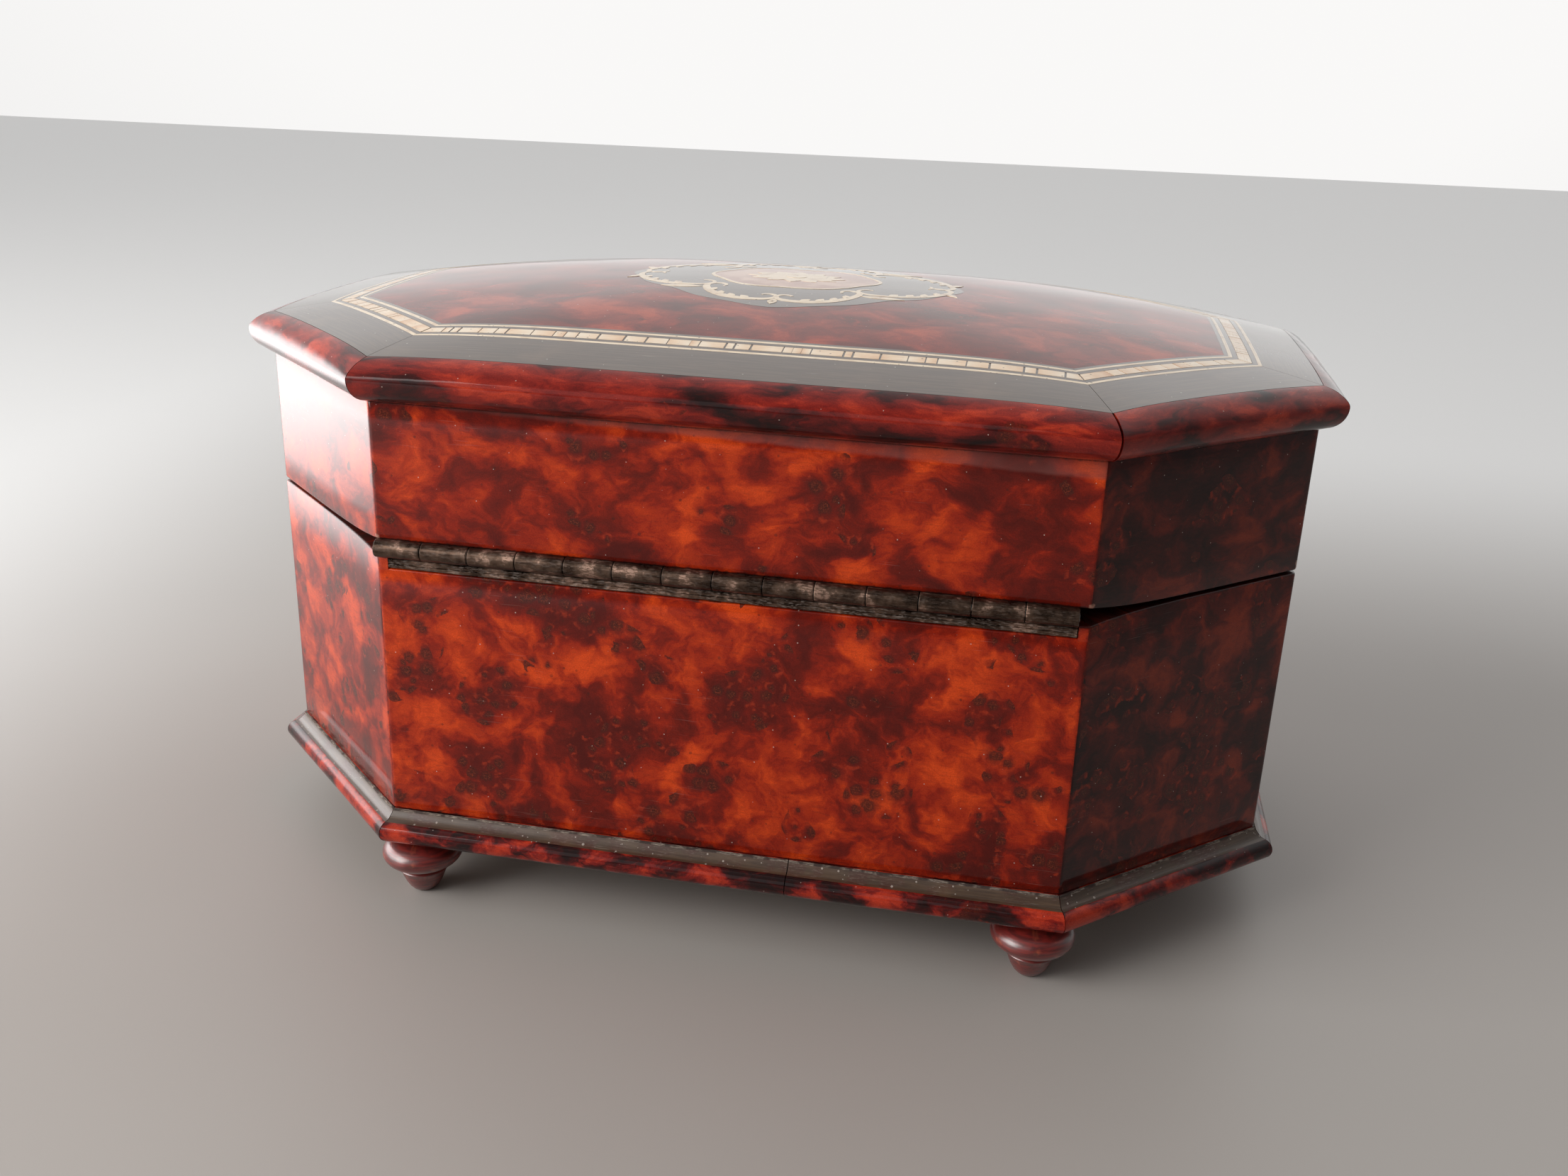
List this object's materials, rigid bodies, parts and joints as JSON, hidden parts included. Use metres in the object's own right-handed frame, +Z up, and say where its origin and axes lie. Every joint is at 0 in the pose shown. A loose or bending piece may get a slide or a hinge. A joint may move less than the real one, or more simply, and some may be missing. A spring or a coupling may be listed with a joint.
{
  "type": "wooden keepsake box",
  "caption": "Long eight-sided veneered wooden box with a domed, inlaid lid on a piano hinge, a mortise lock and turned feet; it holds jewellery or keepsakes.",
  "frame": {"origin": "centre of the box's footprint, at the level of the feet's lowest points", "axes": "+X along the long sides, +Y towards the hinge side, +Z up"},
  "size_m": [0.292, 0.1916, 0.1604],
  "materials": {
    "burl_veneer": "high-gloss French polish over dark red burl, worn and finely scratched",
    "burl_moulding": "high-gloss French polish, darker red burl with streaked figure",
    "ebonised_wood": "ebonised, glossy with fine scratches",
    "maple": "pale inlay under a thin polish, slightly yellowed",
    "carcass_wood": "bare softwood, dull",
    "turned_wood": "turned and red stained, semi-gloss, worn at the edges",
    "old_brass": "oxidised brown with coppery worn spots",
    "steel": "dull drawn steel",
    "silk": "quilted satin lining"
  },
  "bodies": {
    "box": {"base_board": "carcass_wood", "base_moulding_right": "burl_moulding", "base_moulding_back_right": "burl_moulding", "base_moulding_back_long": "burl_moulding", "base_moulding_back_short": "burl_moulding", "base_moulding_back_left": "burl_moulding", "base_moulding_left": "burl_moulding", "base_moulding_front_left": "burl_moulding", "base_moulding_front": "burl_moulding", "base_moulding_front_right": "burl_moulding", "foot_back_right": "turned_wood", "foot_back_left": "turned_wood", "foot_front_left": "turned_wood", "foot_front_right": "turned_wood", "wall_right": "burl_veneer", "wall_back_right": "burl_veneer", "wall_back": "burl_veneer", "wall_back_left": "burl_veneer", "wall_left": "burl_veneer", "wall_front_left": "burl_veneer", "wall_front": "burl_veneer", "wall_front_right": "burl_veneer", "hinge_lower_leaf": "old_brass", "hinge_pin": "steel", "lock_case": "old_brass", "escutcheon": "old_brass", "body_lining": "silk", "floor_pad": "silk"},
    "lid": {"hinge_upper_leaf": "old_brass", "lock_keeper": "old_brass", "lid_wall_right": "burl_veneer", "lid_wall_back_right": "burl_veneer", "lid_wall_back": "burl_veneer", "lid_wall_back_left": "burl_veneer", "lid_wall_left": "burl_veneer", "lid_wall_front_left": "burl_veneer", "lid_wall_front": "burl_veneer", "lid_wall_front_right": "burl_veneer", "lid_moulding_right": "burl_moulding", "lid_moulding_back_right": "burl_moulding", "lid_moulding_back": "burl_moulding", "lid_moulding_back_left": "burl_moulding", "lid_moulding_left": "burl_moulding", "lid_moulding_front_left": "burl_moulding", "lid_moulding_front": "burl_moulding", "lid_moulding_front_right": "burl_moulding", "lid_panel": "carcass_wood", "lid_border": "ebonised_wood", "string_outer": "maple", "ebony_line_outer": "ebonised_wood", "block_band": "maple", "ebony_line_inner": "ebonised_wood", "string_inner": "maple", "lid_field": "burl_veneer", "cartouche": "ebonised_wood", "lid_lining": "silk", "lid_pad": "silk"},
    "bolt": {"lock_bolt": "steel"}
  },
  "joints": [
    {"name": "lid_hinge", "type": "hinge", "parent": "box", "child": "lid", "pos_m": [0, 0.0899, 0.1], "axis": [-1, 0, 0], "range_deg": [0, 100]},
    {"name": "bolt_slide", "type": "slide", "parent": "box", "child": "bolt", "axis": [1, 0, 0], "range_m": [0, 0.004]}
  ]
}
